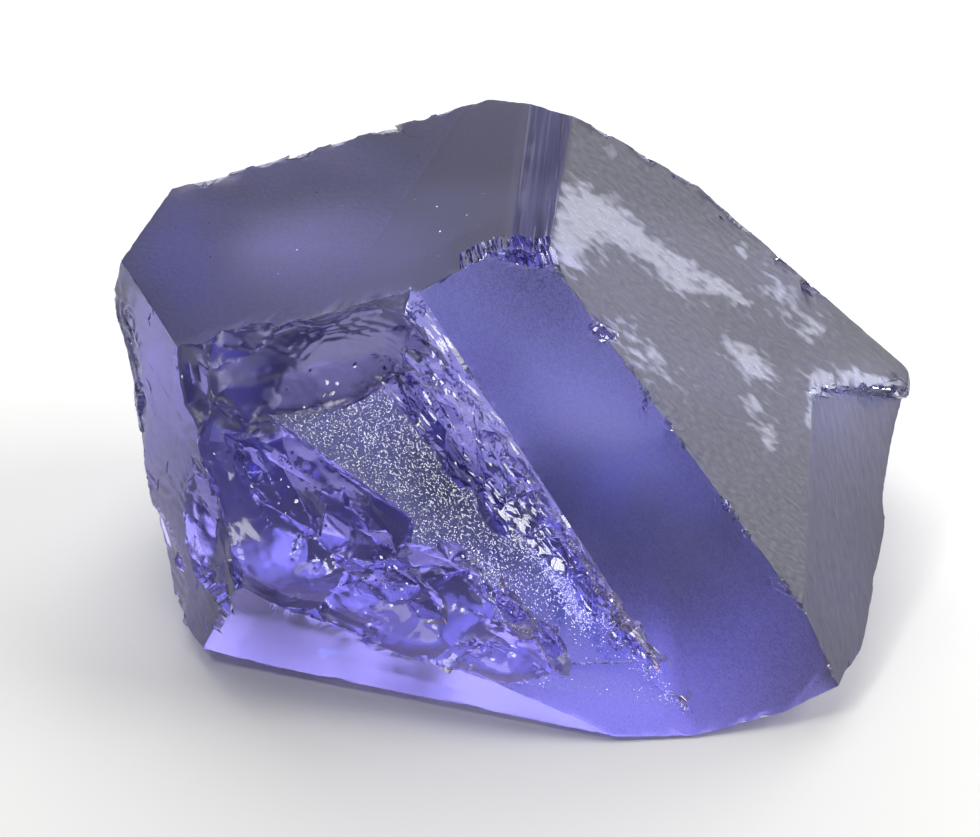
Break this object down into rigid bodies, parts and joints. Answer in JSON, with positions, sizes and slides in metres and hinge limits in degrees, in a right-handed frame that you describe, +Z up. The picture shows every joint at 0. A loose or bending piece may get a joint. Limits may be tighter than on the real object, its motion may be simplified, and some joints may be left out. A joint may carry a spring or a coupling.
{
  "type": "rough tanzanite",
  "caption": "Uncut violet-blue gem crystal fragment with frosted cleavage flats, a long step, a conchoidal hollow and chipped edges, lying on its flat underside.",
  "frame": {"origin": "on the ground plane, under the middle of the stone's outline", "axes": "+X along the stone's longest extent, -Y out of the face with the long step, +Z up from the flat that it rests on"},
  "size_m": [0.0188, 0.0126, 0.0117],
  "materials": {
    "violet_crystal": "natural crystal, frosted on its cleavage flats and glassy on its fresh breaks"
  },
  "bodies": {
    "root": {"tanzanite": "violet_crystal"}
  },
  "joints": []
}
